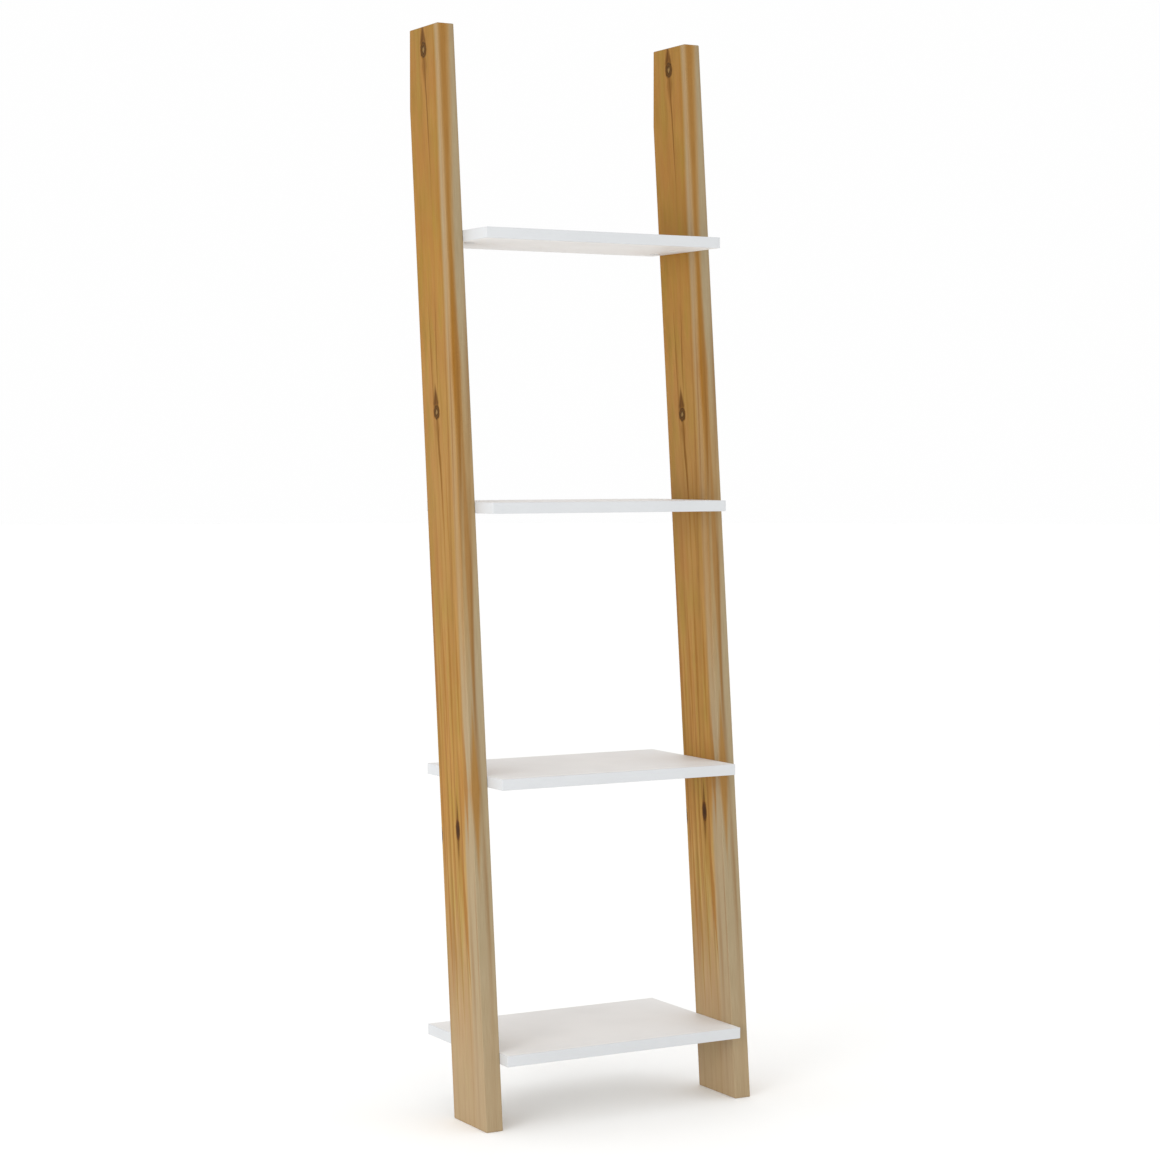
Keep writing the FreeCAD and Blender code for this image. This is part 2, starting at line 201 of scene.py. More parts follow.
# %% [markdown]
# ## What is cut into a rail
#
# Hidden behind each upright cut is a keyhole plate, let in flush, over a pocket that takes the
# head of a wall screw. The plate's seat and the pocket are milled with round ends. A slot-shaped
# tool is a block whose four corners are bevelled by half its width, until each end is a half
# circle. The holes for the dowels, bolts and screws are made with the fittings themselves as
# tools, so every hole fits what goes into it.

# %% Make the tools
SEAT_ROOM = 0.1 * MM
POCKET_LENGTH, POCKET_WIDTH, POCKET_DEPTH = 24 * MM, 11 * MM, 7 * MM
PAST_WALL = 1 * MM     # how far a cutter stands out of the wall cut
ROUND_END_STEPS = 12


def slot_cutter(centre, length, width, back, front):
    """A tall block with round ends, which cuts a slot from one depth to another."""
    half = Vector((width / 2, 0, length / 2))
    low, high = centre - half, centre + half
    low.y, high.y = back, front
    tool = block("slot_cutter", low, high)
    select_edges(tool, lambda a, b: abs(a.y - b.y) > abs(front - back) / 2)
    bpy.ops.object.mode_set(mode="EDIT")
    bpy.ops.mesh.bevel(
        offset=width / 2, segments=ROUND_END_STEPS, affect="EDGES", clamp_overlap=True
    )
    bpy.ops.mesh.select_all(action="SELECT")
    bpy.ops.mesh.remove_doubles(threshold=0.01 * MM)
    bpy.ops.object.mode_set(mode="OBJECT")
    return tool


def fittings_as_tool(names):
    """Copies of fittings, joined, with their loose triangles merged into closed shells."""
    bpy.ops.object.select_all(action="DESELECT")
    for name in names:
        nodes[name].select_set(True)
    bpy.context.view_layer.objects.active = nodes[names[0]]
    bpy.ops.object.duplicate()
    if len(names) > 1:
        bpy.ops.object.join()
    tool = bpy.context.object
    tool.name = "fittings_tool"
    bpy.ops.object.mode_set(mode="EDIT")
    bpy.ops.mesh.select_all(action="SELECT")
    bpy.ops.mesh.remove_doubles(threshold=0.001 * MM)
    bpy.ops.object.mode_set(mode="OBJECT")
    return tool


def cut(piece, tool):
    """Takes the tool's shape out of the piece and puts the tool away."""
    apply_modifier(piece, "BOOLEAN", operation="DIFFERENCE", solver="EXACT", object=tool)
    only(tool)
    bpy.ops.object.delete()


# %% Cut both rails
def smooth(piece):
    """Rounds look round and flats stay flat: large faces decide the shading of their corners."""
    only(piece)
    bpy.ops.object.shade_smooth_by_angle(angle=SHARP_ANGLE)
    apply_modifier(piece, "WEIGHTED_NORMAL", keep_sharp=True, weight=100)


def finish_rail(side):
    """One rail: the blank at its side, with its seat, pocket and holes."""
    low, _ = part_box(f"{side}_rail")
    rail = copy_of(blank, f"{side}_rail_board", move=(low.x - rail_low.x, 0, 0))
    plate_low, plate_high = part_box(f"{side}_hanger_plate")
    centre, size = (plate_low + plate_high) / 2, plate_high - plate_low
    past_wall = plate_high.y + PAST_WALL
    seat_length, seat_width = size.z + 2 * SEAT_ROOM, size.x + 2 * SEAT_ROOM
    cut(rail, slot_cutter(centre, seat_length, seat_width, plate_low.y, past_wall))
    pocket_floor = plate_low.y - POCKET_DEPTH
    cut(rail, slot_cutter(centre, POCKET_LENGTH, POCKET_WIDTH, pocket_floor, past_wall))
    cut(rail, fittings_as_tool([f"{side}_hanger_screws"]))
    for shelf in SHELVES:
        cut(rail, fittings_as_tool([f"{shelf}_cam_bolts", f"{shelf}_dowels"]))
    return rail


rails = {side: finish_rail(side) for side in ("left", "right")}
only(blank)
bpy.ops.object.delete()

# %% [markdown]
# The back edge bends by only five degrees where the wall cut starts, less than a smooth shade
# would notice, so that saw line is marked sharp before the rails are shaded.

# %% Shade the rails
wall_cut_start = foot_front + across_rail * RAIL_WIDTH
wall_cut_start += along_rail * (rail_high.y - wall_cut_start.y) / along_rail.y
SAW_LINE_REACH = 1 * MM


def on_saw_line(a, b):
    """True for an edge whose two ends lie where the wall cut starts."""
    levels = [abs(end.z - wall_cut_start.z) for end in (a, b)]
    return max(levels) < SAW_LINE_REACH and min(a.y, b.y) > rail_high.y - 2 * EASED_RADIUS


for side, rail in rails.items():
    found = select_edges(rail, on_saw_line)
    bpy.ops.object.mode_set(mode="EDIT")
    bpy.ops.mesh.mark_sharp()
    bpy.ops.object.mode_set(mode="OBJECT")
    smooth(rail)
    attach(rail, "root")
    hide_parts(f"{side}_rail")
    print(rail.name, len(rail.data.polygons), "faces,", found, "edges on the saw line")

# %% [markdown]
# ## Edge bands
#
# A shelf is a faced board, and its four sawn edges are covered by 1 mm strips of white plastic.
# The strips are glued on and trimmed, which leaves a small round along every outer arris and a
# hairline where strip and board meet. The front and back strips run over the ends of the side
# strips. Each strip is a block, bevelled twice: wide on the outside and very fine at the glue line.

# %% Make one strip
BAND_THICKNESS = 1 * MM
BAND_RADIUS = 0.8 * MM
BAND_STEPS = 4
GLUE_LINE = 0.12 * MM


def strip(name, low, high, board_side, ends_covered):
    """One strip. board_side is the axis and place of the face that is glued to the board."""
    piece = block(name, low, high)
    axis, place = board_side
    along = 1 - axis

    def outer(a, b):
        if abs(a[axis] - place) < GLUE_LINE / 2 and abs(b[axis] - place) < GLUE_LINE / 2:
            return False
        runs_along = abs(a[along] - b[along]) > 2 * BAND_THICKNESS
        return runs_along or not ends_covered

    def glued(a, b):
        return all(abs(end[axis] - place) < GLUE_LINE / 2 for end in (a, b))

    for test, width, steps in ((outer, BAND_RADIUS, BAND_STEPS), (glued, GLUE_LINE, 1)):
        select_edges(piece, test)
        bpy.ops.object.mode_set(mode="EDIT")
        bpy.ops.mesh.bevel(offset=width, segments=steps, affect="EDGES")
        bpy.ops.object.mode_set(mode="OBJECT")
    smooth(piece)
    return piece


# %% Band the four shelves
X, Y = 0, 1


def join(pieces, name):
    """Makes several pieces one object."""
    only(pieces[0])
    for piece in pieces[1:]:
        piece.select_set(True)
    bpy.ops.object.join()
    bpy.context.object.name = bpy.context.object.data.name = name
    return bpy.context.object


strips = []
for shelf in SHELVES:
    for place, inner in (("front", 1), ("back", 0)):
        node = f"{shelf}_{place}_band"
        low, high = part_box(node)
        glue_face = (Y, (low, high)[inner].y)
        piece = strip(f"{shelf}_{place}_strip", low, high, glue_face, ends_covered=False)
        strips.append((piece, node))
    node = f"{shelf}_end_bands"
    low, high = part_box(node)
    inner_left, inner_right = low.x + BAND_THICKNESS, high.x - BAND_THICKNESS
    left_high, right_low = Vector((inner_left, *high.yz)), Vector((inner_right, *low.yz))
    pair = [
        strip("left_strip", low, left_high, (X, inner_left), ends_covered=True),
        strip("right_strip", right_low, high, (X, inner_right), ends_covered=True),
    ]
    strips.append((join(pair, f"{shelf}_end_strips"), node))

for piece, node in strips:
    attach(piece, "root")
    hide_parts(node)
print(len(strips), "sets of edge strips")

# %% [markdown]
# ## Cover caps
#
# Sixteen white caps close the cam locks' bores under the shelves. A cap is moulded: a thin disc
# with a rounded rim and a slightly hollow face, and a plug behind it with a lead-in at its tip. A
# lathe profile would do, but a cylinder is quicker to follow: its outer face is inset and pushed
# in, its inner face is inset and drawn out into the plug, and the rim and the tip are bevelled.
# One cap is modelled, and the rest are copies.

# %% Model one cap
CAP_RADIUS = 8.8 * MM
CAP_DEPTH = 0.9 * MM
CAP_SIDES = 48
RIM_RADIUS, RIM_STEPS = 0.45 * MM, 4
HOLLOW_INSET, HOLLOW_SLOPE, HOLLOW_DEPTH = 1.6 * MM, 0.6 * MM, 0.15 * MM
PLUG_RADIUS, PLUG_LENGTH, PLUG_LEAD_IN = 2 * MM, 2.5 * MM, 0.3 * MM
SAME_HEIGHT, LEVEL_ENOUGH = 0.01 * MM, 0.9  # what counts as one height, and as a level face


def select_level(piece, height):
    """Selects the faces that lie at one height, ready for edit mode."""
    only(piece)
    bpy.ops.object.mode_set(mode="EDIT")
    bpy.ops.mesh.select_mode(type="FACE")
    bpy.ops.mesh.select_all(action="DESELECT")
    bpy.ops.object.mode_set(mode="OBJECT")
    for face in piece.data.polygons:
        level = abs(face.normal.z) > LEVEL_ENOUGH
        face.select = level and abs(face.center.z - height) < SAME_HEIGHT
    bpy.ops.object.mode_set(mode="EDIT")


bpy.ops.object.select_all(action="DESELECT")
bpy.ops.mesh.primitive_cylinder_add(
    vertices=CAP_SIDES, radius=CAP_RADIUS, depth=CAP_DEPTH, location=(0, 0, CAP_DEPTH / 2)
)
bpy.ops.object.transform_apply(location=True, rotation=True, scale=True)
cap = bpy.context.object
cap.name = "cap"
select_level(cap, 0)
bpy.ops.mesh.bevel(offset=RIM_RADIUS, segments=RIM_STEPS, affect="EDGES")
bpy.ops.object.mode_set(mode="OBJECT")
select_level(cap, 0)
bpy.ops.mesh.inset(thickness=HOLLOW_INSET)
bpy.ops.mesh.inset(thickness=HOLLOW_SLOPE)
bpy.ops.transform.translate(value=(0, 0, HOLLOW_DEPTH))
bpy.ops.object.mode_set(mode="OBJECT")
select_level(cap, CAP_DEPTH)
bpy.ops.mesh.inset(thickness=CAP_RADIUS - PLUG_RADIUS)
bpy.ops.mesh.extrude_region_move(TRANSFORM_OT_translate={"value": (0, 0, PLUG_LENGTH)})
bpy.ops.mesh.bevel(offset=PLUG_LEAD_IN, segments=2, affect="EDGES")
bpy.ops.object.mode_set(mode="OBJECT")
smooth(cap)
print("cap", [round(side / MM, 2) for side in cap.dimensions], "mm")

# %% Press the caps in
cap_sets = []
for shelf in SHELVES:
    node = f"{shelf}_cam_caps"
    low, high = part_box(node)
    caps = [
        copy_of(cap, "cap_copy", move=(x, y, low.z))
        for x in (low.x + CAP_RADIUS, high.x - CAP_RADIUS)
        for y in (low.y + CAP_RADIUS, high.y - CAP_RADIUS)
    ]
    piece = join(caps, f"{shelf}_cover_caps")
    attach(piece, "root")
    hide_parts(node)
    cap_sets.append(piece)
only(cap)
bpy.ops.object.delete()
print(len(cap_sets), "sets of four caps")

# %% [markdown]
# ## Materials, and how they are built
#
# Every material is a small graph of nodes that works on the piece's own coordinates, in metres, so
# each pattern has a real size. Colours are written as the sRGB hex values that a colour picker
# gives, and turned to linear light here. One function adds a node, sets it and links it, and hands
# back the output that the next node needs. Inputs are given by name, or by number where a node has
# several of one name. A Mix node has three sets of sockets, and the ones for colours are named
# below.


# %% Three small tools for materials
def linear(hex_colour):
    """An sRGB hex colour as linear red, green, blue and alpha."""
    channels = [int(hex_colour[i : i + 2], 16) / 255 for i in (1, 3, 5)]
    return (*[c / 12.92 if c <= 0.04045 else ((c + 0.055) / 1.055) ** 2.4 for c in channels], 1)


def add_node(tree, kind, inputs, out=0, stops=(), **settings):
    """Adds a node and fills or links its inputs. stops are a colour ramp's places and colours."""
    node = tree.nodes.new(f"ShaderNode{kind}")
    for name, value in settings.items():
        setattr(node, name, value)
    for name, value in inputs.items():
        if isinstance(value, bpy.types.NodeSocket):
            tree.links.new(value, node.inputs[name])
        else:
            node.inputs[name].default_value = value
    for i, (place, colour) in enumerate(stops):
        elements = node.color_ramp.elements
        element = elements[i] if i < len(elements) else elements.new(place)
        element.position = place
        element.color = linear(colour)
    return node.outputs[out]


FACTOR, UNDER, OVER = 0, 6, 7
BLEND = {"out": 2, "data_type": "RGBA"}
TINT = {**BLEND, "blend_type": "MULTIPLY"}
NOISE_SPAN = {"From Min": 0.3, "From Max": 0.7}  # the values that a noise mostly stays between
CLOUD_STOPS = (0.35, 0.65)  # where a soft noise has fully turned one colour and the other


def new_material(name, **surface_values):
    """A material with its surface's constant values set, its node tree and its surface."""
    material = bpy.data.materials.new(name)
    material.use_nodes = True
    surface = material.node_tree.nodes["Principled BSDF"]
    for socket, value in surface_values.items():
        surface.inputs[socket.replace("_", " ")].default_value = value
    return material, material.node_tree, surface


# %% [markdown]
# ## Pine
#
# The rails are pine under a thin clear matt lacquer. From large to small, its look is made of a
# warm honey body that pales towards the foot, a strip of paler sapwood along the front edge, the
# darker late wood of each year's growth ring, dark streaks and brown knots that the grain flows
# round, and the fine fibre. A picture of wood would repeat and would not turn the corner. Here
# the pattern fills the board's volume, so a ring that leaves one face comes out on the next one,
# and the sawn ends show the rings' arcs.
#
# All of it is worked out in the board's own millimetres: through its thickness from its left
# face, across it from its front edge, and up along it from the foot.


# %% Find a point in the board
def board_place(tree, corner):
    """A point's place in the board, in mm: through it, across it and along it."""
    place = add_node(tree, "TexCoord", {}, out="Object")
    return add_node(
        tree,
        "Mapping",
        {"Vector": place, "Location": corner, "Rotation": (-LEAN, 0, 0), "Scale": (MM, MM, MM)},
        vector_type="TEXTURE",
    )


def streaks(tree, board, across, along, detail=2.0):
    """Noise drawn out along the grain. Its streaks have the given width and length in mm."""
    stretched = add_node(
        tree, "Mapping", {"Vector": board, "Scale": (across, across, along)}, vector_type="TEXTURE"
    )
    return add_node(tree, "TexNoise", {"Vector": stretched, "Scale": 1.0, "Detail": detail})


# %% Where the knots are
# Each knot: up the rail, in from the front edge, its reach through the board from the left face,
# half its width and half its height in mm, and the colours from its heart to its rim. Two are
# live knots with a pale heart, one is dead and dark all through, and the last is a nick in the
# back corner.
FOREVER = 1e6  # a size that makes a direction not count
LIVE_KNOT = ("#86683A", "#402600", "#5E3C08", "#402600", "#7E5418")
DEAD_KNOT = ("#3A2002", "#3E2303", "#472905", "#573408", "#7A4E12")
KNOTS = (
    (1755, 54, FOREVER, 11.0, 14.0, LIVE_KNOT),
    (1160, 64, FOREVER, 10.5, 12.0, LIVE_KNOT),
    (480, 54, FOREVER, 7.0, 18.0, DEAD_KNOT),
    (471, 114, 4.0, 4.0, 14.0, DEAD_KNOT),
)
SWERVE_REACH = 3.2  # how many times taller than the knot the grain's swerve round it is
SWERVE_PUSH = -1.2  # how far it swerves, in half widths of the knot
WANDER_MM = 12.0    # how far the grain wanders from side to side along the board


# %% Bend the grain round the knots
def bent_grain(tree, board, across):
    """The distance across the board as the grain sees it: it wanders, and swerves round knots."""
    wander = streaks(tree, board, across=70, along=480, detail=1.0)
    bent = add_node(tree, "Math", {0: wander, 1: WANDER_MM, 2: across}, operation="MULTIPLY_ADD")
    for up, inward, depth, half_width, half_height, _ in KNOTS:
        near = add_node(
            tree,
            "Mapping",
            {
                "Vector": board,
                "Location": (0, inward, up),
                "Scale": (depth, half_width, half_height * SWERVE_REACH),
            },
            vector_type="TEXTURE",
        )
        square = add_node(
            tree, "VectorMath", {0: near, 1: near}, out="Value", operation="DOT_PRODUCT"
        )
        fall_off = add_node(tree, "Math", {0: square, 1: 1.0}, operation="ADD")
        sideways = add_node(tree, "SeparateXYZ", {0: near}, out="Y")
        push = add_node(tree, "Math", {0: sideways, 1: fall_off}, operation="DIVIDE")
        bent = add_node(
            tree, "Math", {0: push, 1: SWERVE_PUSH * half_width, 2: bent}, operation="MULTIPLY_ADD"
        )
    return bent


# %% Draw the growth rings
# The heart of the tree was outside the board, so the rings cross it as shallow arcs. A ring's
# profile runs from pale early wood to its dark edge. How clearly the rings show changes in patches
# and with height: each fade is two heights in mm and the least that shows.
HEART_THROUGH, HEART_ACROSS = -110.0, 190.0
RING_SPACING = 13.0
RING_DRIFT = 0.006   # the tree's taper carries the rings sideways along the board
UNEVEN_YEARS = 1.6   # how many years a ring may wander from its place
RING_PROFILE = ((0.0, "#000000"), (0.5, "#080808"), (0.8, "#FFFFFF"), (1.0, "#000000"))
PATCH_FROM, PATCH_TO, PATCH_LEAST = 0.36, 0.62, 0.15
UPPER_FADE = (1400, 1180, 0.4)
FOOT_FADE = (120, 330, 0.35)


def late_wood(tree, board, through, bent, along):
    """The rings, from 0 in pale early wood to 1 in late wood, and the part of them that shows."""
    drift = add_node(tree, "Math", {0: along, 1: RING_DRIFT, 2: bent}, operation="MULTIPLY_ADD")
    section = add_node(tree, "CombineXYZ", {"X": through, "Y": drift})
    radius = add_node(
        tree,
        "VectorMath",
        {0: section, 1: (HEART_THROUGH, HEART_ACROSS, 0)},
        out="Value",
        operation="DISTANCE",
    )
    years = add_node(tree, "Math", {0: radius, 1: RING_SPACING}, operation="DIVIDE")
    uneven = streaks(tree, board, across=34, along=900, detail=0.0)
    years = add_node(
        tree, "Math", {0: uneven, 1: UNEVEN_YEARS, 2: years}, operation="MULTIPLY_ADD"
    )
    year = add_node(tree, "Math", {0: years}, operation="FRACT")
    profile = add_node(tree, "ValToRGB", {0: year}, stops=RING_PROFILE)
    patchy = streaks(tree, board, across=24, along=330, detail=0.5)
    strength = add_node(
        tree,
        "MapRange",
        {"Value": patchy, "From Min": PATCH_FROM, "From Max": PATCH_TO, "To Min": PATCH_LEAST},
    )
    rings = add_node(tree, "Math", {0: profile, 1: strength}, operation="MULTIPLY")
    for start, end, least in (UPPER_FADE, FOOT_FADE):
        fade = add_node(
            tree,
            "MapRange",
            {"Value": along, "From Min": start, "From Max": end, "To Min": least},
            interpolation_type="SMOOTHSTEP",
        )
        rings = add_node(tree, "Math", {0: rings, 1: fade}, operation="MULTIPLY")
    return profile, rings


# %% Draw a spindle of darker grain
SPINDLE_CORE = 0.4  # the part of a spindle's size that has its full strength


def add_spindle(tree, base, place, spindle):
    """Lays darker grain over the wood, wide in its middle and pointed at both ends."""
    up, side, half_length, half_width, lean, strength, colour = spindle
    near = add_node(
        tree,
        "Mapping",
        {
            "Vector": place,
            "Location": (0, side, up),
            "Rotation": (-math.atan(lean), 0, 0),
            "Scale": (FOREVER, half_width, half_length),
        },
        vector_type="TEXTURE",
    )
    away = add_node(tree, "VectorMath", {0: near}, operation="ABSOLUTE")
    reach = add_node(
        tree, "VectorMath", {0: away, 1: (1, 1, 1)}, out="Value", operation="DOT_PRODUCT"
    )
    amount = add_node(
        tree,
        "MapRange",
        {"Value": reach, "From Min": 1.0, "From Max": SPINDLE_CORE, "To Max": strength},
        interpolation_type="SMOOTHSTEP",
    )
    return add_node(
        tree, "Mix", {FACTOR: amount, UNDER: base, OVER: linear(colour)}, **BLEND
    )


# %% Colour a knot
# Where a knot is solid and where it has faded out are in parts of its own size. A ramp ends at 1,
# so its rings' places are half of that.
KNOT_RING_PLACES = (0.22, 0.32, 0.46, 0.54, 0.68)
KNOT_SOLID, KNOT_GONE = 1.16, 1.46
RAGGEDNESS = 0.5


def add_knot(tree, base, board, knot):
    """An oval of brown rings round the branch's heart, with a ragged edge."""
    up, inward, depth, half_width, half_height, colours = knot
    near = add_node(
        tree,
        "Mapping",
        {
            "Vector": board,
            "Location": (0, inward, up),
            "Scale": (depth, half_width, half_height),
        },
        vector_type="TEXTURE",
    )
    size = add_node(tree, "VectorMath", {0: near}, out="Value", operation="LENGTH")
    ragged = streaks(tree, board, across=4, along=7, detail=3)
    size = add_node(tree, "Math", {0: ragged, 1: RAGGEDNESS, 2: size}, operation="MULTIPLY_ADD")
    halved = add_node(tree, "Math", {0: size, 1: 0.5}, operation="MULTIPLY")
    colour = add_node(tree, "ValToRGB", {0: halved}, stops=zip(KNOT_RING_PLACES, colours))
    inside = add_node(
        tree,
        "MapRange",
        {"Value": size, "From Min": KNOT_GONE, "From Max": KNOT_SOLID},
        interpolation_type="SMOOTHSTEP",
    )
    return add_node(tree, "Mix", {FACTOR: inside, UNDER: base, OVER: colour}, **BLEND)


# %% Place the darker grain
# Each spindle: up the rail, in from the front edge, half its length and half its width in mm,
# how far it moves inwards for each mm upwards, its strength and its colour. A knot has a flame of
# dark grain above it, and a smear below it that draws out into a line.
FLAME, SMEAR, LINE, RESIN, GRAIN = "#593500", "#7C531A", "#764B0E", "#96682A", "#8E6120"
FACE_SPINDLES = (
    (1768, 55, 46, 14.0, 0.0, 0.95, FLAME),
    (1728, 53, 62, 12.0, 0.0, 0.7, SMEAR),
    (1680, 51, 210, 3.4, 0.02, 0.9, LINE),
    (1690, 19, 160, 6.0, -0.02, 0.6, RESIN),
    (1175, 65, 42, 13.0, 0.02, 0.95, FLAME),
    (1134, 63, 62, 10.0, 0.02, 0.65, SMEAR),
    (1085, 60, 150, 4.6, 0.04, 0.8, LINE),
    (1265, 55, 130, 3.6, -0.03, 0.6, LINE),
    (1260, 75, 120, 3.6, 0.03, 0.6, LINE),
    (480, 54, 78, 8.0, 0.0, 0.9, FLAME),
    (350, 39, 190, 7.0, 0.056, 0.85, RESIN),
    (400, 48, 120, 14.0, 0.05, 0.4, RESIN),
    (545, 18, 130, 9.0, 0.0, 0.85, RESIN),
    (990, 56, 160, 4.5, 0.0, 0.5, GRAIN),
    (985, 41, 140, 4.0, 0.01, 0.5, GRAIN),
    (740, 56, 200, 6.0, 0.0, 0.65, GRAIN),
    (730, 78, 190, 5.0, 0.01, 0.65, GRAIN),
    (720, 32, 170, 5.0, -0.01, 0.6, GRAIN),
    (690, 96, 140, 4.0, 0.0, 0.5, GRAIN),
    (440, 72, 190, 4.5, 0.0, 0.5, GRAIN),
    (345, 96, 220, 5.0, 0.01, 0.6, GRAIN),
    (280, 81, 190, 5.0, 0.0, 0.55, GRAIN),
    (280, 61, 200, 5.0, 0.01, 0.5, GRAIN),
)

# %% [markdown]
# The front edges are cut through dark resinous layers that slope away from the wide face. Their
# spindles are drawn the same way, but sideways is then measured across the layers, from the wide
# face's front arris. The first is broad and faint: it warms the sapwood in the middle of the rail.

# %% Slope the dark layers
LAYER_SLOPE = -0.3  # how far a layer moves through the board for each mm across it
EDGE_SPINDLES = (
    (1040, 4.0, 480, 45.0, 0.0, 0.5, "#A47C42"),
    (1900, 13.0, 1400, 18.0, 0.012, 0.7, "#A4742E"),
    (1900, 12.0, 1000, 10.0, 0.012, 0.5, "#93601A"),
    (1230, 8.5, 300, 12.0, 0.0, 0.7, "#93601A"),
    (900, 14.0, 420, 8.0, 0.0, 0.55, "#93601A"),
    (545, 9.0, 190, 13.0, 0.0, 0.75, "#9A681C"),
)

# %% Colour the body and the sapwood
# The body's colours are given by height, as parts of the rail's length. Each growth of the sapwood
# is two heights and what it adds to the strip's width, in mm. Its soft edge reaches some way in
# and out from there. The foot's tone fades from its full strength at one height to none at another.
BODY = ((0.0, "#AC9168"), (0.08, "#AB8F62"), (0.14, "#AE9060"), (0.21, "#AD8950"),
        (0.28, "#A98040"), (0.58, "#A27B42"), (0.8, "#A07633"), (1.0, "#9C7438"))
RAIL_LENGTH_MM = (top_front - foot_front).length / MM
SAP_WIDTH, SAP_GROWTH = 20.0, ((1790, 1400, 3.0), (600, 440, 14.0))
SAP_EDGE_IN, SAP_EDGE_OUT, SAP_STRENGTH = 8, 5, 0.9
SAPWOOD, FOOT, DEEP_TONE = "#A29174", "#AA9373", "#8C6024"
PALE_FOOT = (10, 360, 0.85)
CAST = ((0.36, "#F6FFEE"), (0.5, "#FFFFFF"), (0.64, "#FFF6FA"))  # greenish to pinkish
BLOTCH_FROM, BLOTCH_TO, BLOTCH_STRENGTH = 0.42, 0.66, 0.3


def wood_body(tree, board, bent, along):
    """The honey body, and the strip of sapwood, which widens on its way down."""
    height = add_node(tree, "Math", {0: along, 1: RAIL_LENGTH_MM}, operation="DIVIDE")
    colour = add_node(tree, "ValToRGB", {0: height}, stops=BODY)
    hue = streaks(tree, board, across=22, along=110)
    cast = add_node(tree, "ValToRGB", {0: hue}, stops=CAST)
    colour = add_node(tree, "Mix", {FACTOR: 1.0, UNDER: colour, OVER: cast}, **TINT)
    blotchy = streaks(tree, board, across=30, along=160, detail=1.0)
    deeper = add_node(
        tree,
        "MapRange",
        {
            "Value": blotchy,
            "From Min": BLOTCH_FROM,
            "From Max": BLOTCH_TO,
            "To Max": BLOTCH_STRENGTH,
        },
    )
    colour = add_node(
        tree, "Mix", {FACTOR: deeper, UNDER: colour, OVER: linear(DEEP_TONE)}, **BLEND
    )
    inside = bent
    for start, end, growth in SAP_GROWTH:
        wider = add_node(
            tree,
            "MapRange",
            {"Value": along, "From Min": start, "From Max": end, "To Max": growth},
            interpolation_type="SMOOTHSTEP",
        )
        inside = add_node(tree, "Math", {0: inside, 1: wider}, operation="SUBTRACT")
    sap = add_node(
        tree,
        "MapRange",
        {
            "Value": inside,
            "From Min": SAP_WIDTH + SAP_EDGE_IN,
            "From Max": SAP_WIDTH - SAP_EDGE_OUT,
            "To Max": SAP_STRENGTH,
        },
        interpolation_type="SMOOTHSTEP",
    )
    colour = add_node(
        tree, "Mix", {FACTOR: sap, UNDER: colour, OVER: linear(SAPWOOD)}, **BLEND
    )
    low, high, most = PALE_FOOT
    foot = add_node(
        tree,
        "MapRange",
        {"Value": along, "From Min": high, "From Max": low, "To Max": most},
        interpolation_type="SMOOTHSTEP",
    )
    return add_node(tree, "Mix", {FACTOR: foot, UNDER: colour, OVER: linear(FOOT)}, **BLEND)


# %% Put the pine together
LATE, LATE_STRENGTH, LATE_RELIEF = "#80541C", 0.62, 0.6
LAYER_WOBBLE, STREAK_WOBBLE = 3.0, 4.0  # how far the darker grain wanders, in mm
FIBRE = ((0.35, "#F3F0EA"), (0.6, "#FFFFFF"))
# The front faces are tinted a little cooler: partly the wood's greyer skin, partly a painted cool
# cast of the light that falls on them.
SKIN_AND_PAINTED_COOL_LIGHT, SKIN_AND_PAINTED_COOL_LIGHT_FROM, SKIN_AND_PAINTED_COOL_LIGHT_TO = "#FAFDFF", 1.8, 0.4  # the front edges are very slightly cooler
END_GRAIN = ((0.1, "#F4EEE4"), (0.9, "#B9A68C"))  # on the sawn ends, in early and late wood
SAWN_FROM, SAWN_TO = 0.6, 0.9  # how squarely a face looks along the rail
SATIN, MATT = 0.5, 0.64
LACQUER_SHINE = 0.1
FIBRE_RELIEF, FIBRE_DEPTH = 0.3, 0.08 * MM


